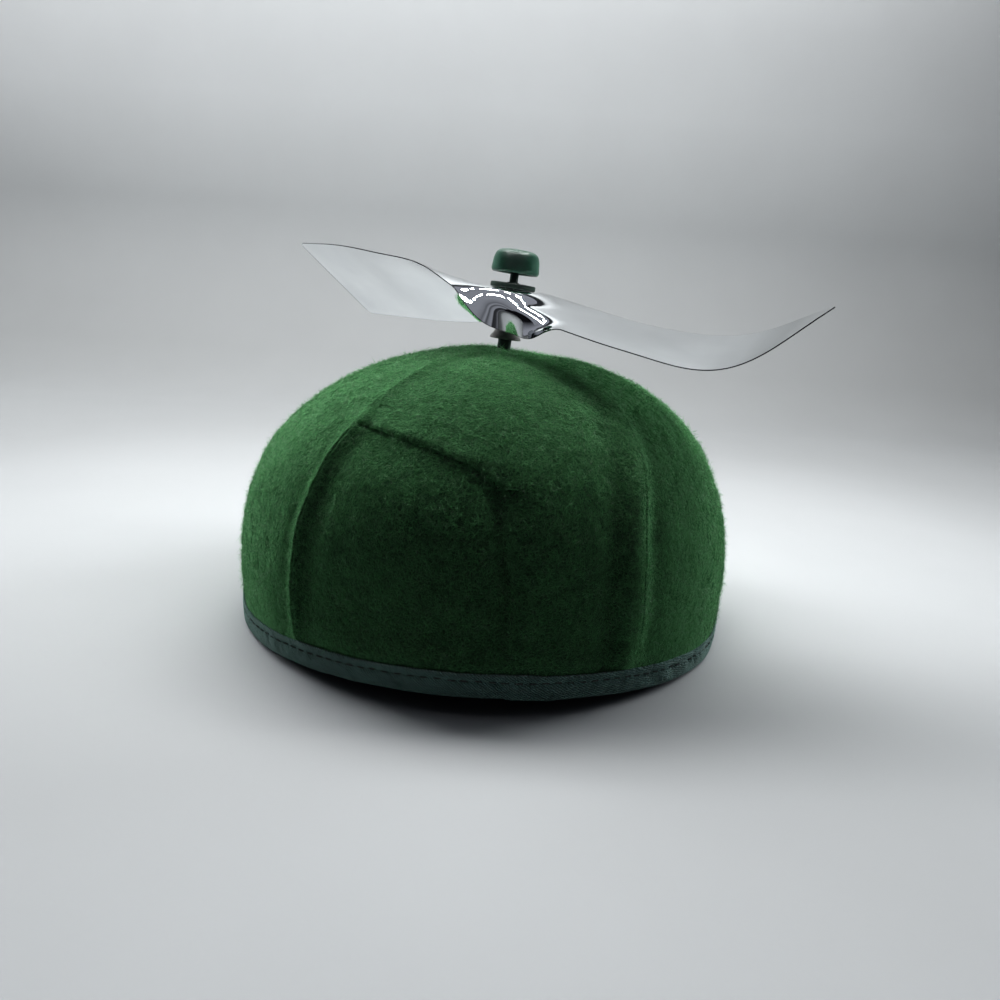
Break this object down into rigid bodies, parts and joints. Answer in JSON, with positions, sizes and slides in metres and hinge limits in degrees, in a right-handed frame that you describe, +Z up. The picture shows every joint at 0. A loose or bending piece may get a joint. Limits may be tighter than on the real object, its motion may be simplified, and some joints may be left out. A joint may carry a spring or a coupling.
{
  "type": "propeller beanie",
  "caption": "Felt skullcap of six panels with a ribbon-bound rim and a mirror-bright strip propeller that spins on a knobbed post.",
  "frame": {"origin": "middle of the outline seen from above, on the surface the rim rests on", "axes": "+Z up, -Y the front of the cap, +X along the length of the propeller's spread"},
  "size_m": [0.2043, 0.1835, 0.1373],
  "materials": {
    "felt": "matt green wool felt with a loose fibre nap",
    "ribbon": "finely ribbed grey-green satin ribbon",
    "dark_plastic": "moulded, very dark green",
    "grey_plastic": "moulded, warm grey",
    "bright_metal": "thin pressed sheet",
    "mirror_sheet": "mirror-bright flexible sheet",
    "green_plastic": "moulded with a soft sheen"
  },
  "bodies": {
    "cap": {"crown_panel_1": "felt", "crown_panel_2": "felt", "crown_panel_3": "felt", "crown_panel_4": "felt", "crown_panel_5": "felt", "crown_panel_6": "felt", "rim_binding": "ribbon", "post": "dark_plastic", "collar": "grey_plastic", "lobed_washer": "bright_metal", "top_disc": "dark_plastic", "knob": "green_plastic"},
    "propeller": {"propeller": "mirror_sheet"}
  },
  "joints": [
    {"name": "propeller_spin", "type": "hinge", "parent": "cap", "child": "propeller", "pos_m": [-0.00559, 0, 0.12112], "axis": [0.0872, 0, 0.9962], "continuous": true}
  ]
}
